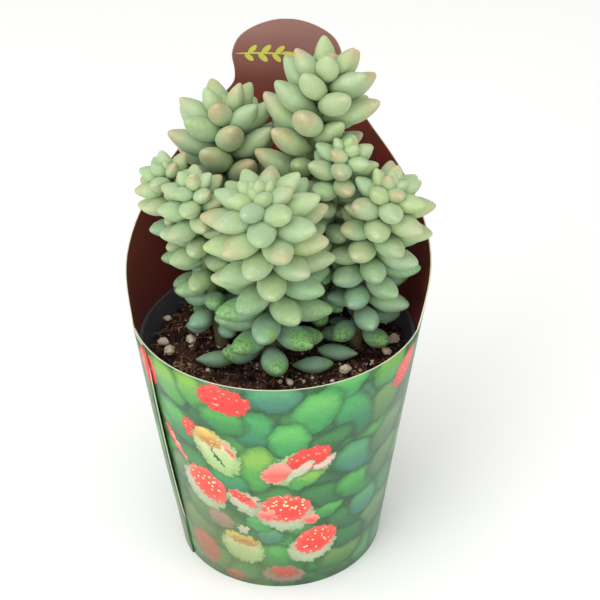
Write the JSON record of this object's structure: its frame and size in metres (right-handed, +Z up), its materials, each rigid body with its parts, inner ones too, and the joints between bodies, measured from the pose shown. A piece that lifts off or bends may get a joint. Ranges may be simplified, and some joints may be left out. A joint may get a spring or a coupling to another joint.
{
  "type": "potted burros tail",
  "caption": "Succulent with hanging-bead shoots in a thin plastic nursery pot, inside a tapered printed card sleeve with a tall round-headed back tab.",
  "frame": {"origin": "centre of the pot's flat base, where the pot and its sleeve stand", "axes": "+Z up along the pot's axis, the sleeve's tall tab at the back towards +Y"},
  "size_m": [0.0932, 0.0991, 0.161],
  "materials": {
    "printed_card": "glossy printed card, green leaf and red flower print outside, brown inside",
    "grey_plastic": "thin vacuum-formed plastic, satin",
    "peat": "loose fibrous peat",
    "pumice": "rough porous chips",
    "leaf": "fleshy leaf with a pale waxy bloom",
    "dropped_leaf": "fallen fleshy leaf, partly dusty"
  },
  "bodies": {
    "root": {"chip_1": "pumice", "chip_2": "pumice", "chip_3": "pumice", "chip_4": "pumice", "chip_5": "pumice", "chip_6": "pumice", "chip_7": "pumice", "chip_8": "pumice", "fallen_leaf_1": "dropped_leaf", "fallen_leaf_2": "dropped_leaf", "fallen_leaf_3": "dropped_leaf", "leaf_back_left_1": "leaf", "leaf_back_left_2": "leaf", "leaf_back_left_3": "leaf", "leaf_back_left_4": "leaf", "leaf_back_left_5": "leaf", "leaf_far_left_1": "leaf", "leaf_far_left_2": "leaf", "leaf_far_left_3": "leaf", "leaf_far_left_4": "leaf", "leaf_far_left_5": "leaf", "leaf_front_1": "leaf", "leaf_front_2": "leaf", "leaf_front_3": "leaf", "leaf_front_4": "leaf", "leaf_front_5": "leaf", "leaf_left_1": "leaf", "leaf_left_2": "leaf", "leaf_left_3": "leaf", "leaf_left_4": "leaf", "leaf_left_5": "leaf", "leaf_middle_1": "leaf", "leaf_middle_2": "leaf", "leaf_middle_3": "leaf", "leaf_middle_4": "leaf", "leaf_middle_5": "leaf", "leaf_right_1": "leaf", "leaf_right_2": "leaf", "leaf_right_3": "leaf", "leaf_right_4": "leaf", "leaf_right_5": "leaf", "leaf_tall_1": "leaf", "leaf_tall_2": "leaf", "leaf_tall_3": "leaf", "leaf_tall_4": "leaf", "leaf_tall_5": "leaf", "pot": "grey_plastic", "shoot_back_left": "leaf", "shoot_far_left": "leaf", "shoot_front": "leaf", "shoot_left": "leaf", "shoot_middle": "leaf", "shoot_right": "leaf", "shoot_tall": "leaf", "sleeve": "printed_card", "soil": "peat"}
  },
  "joints": []
}
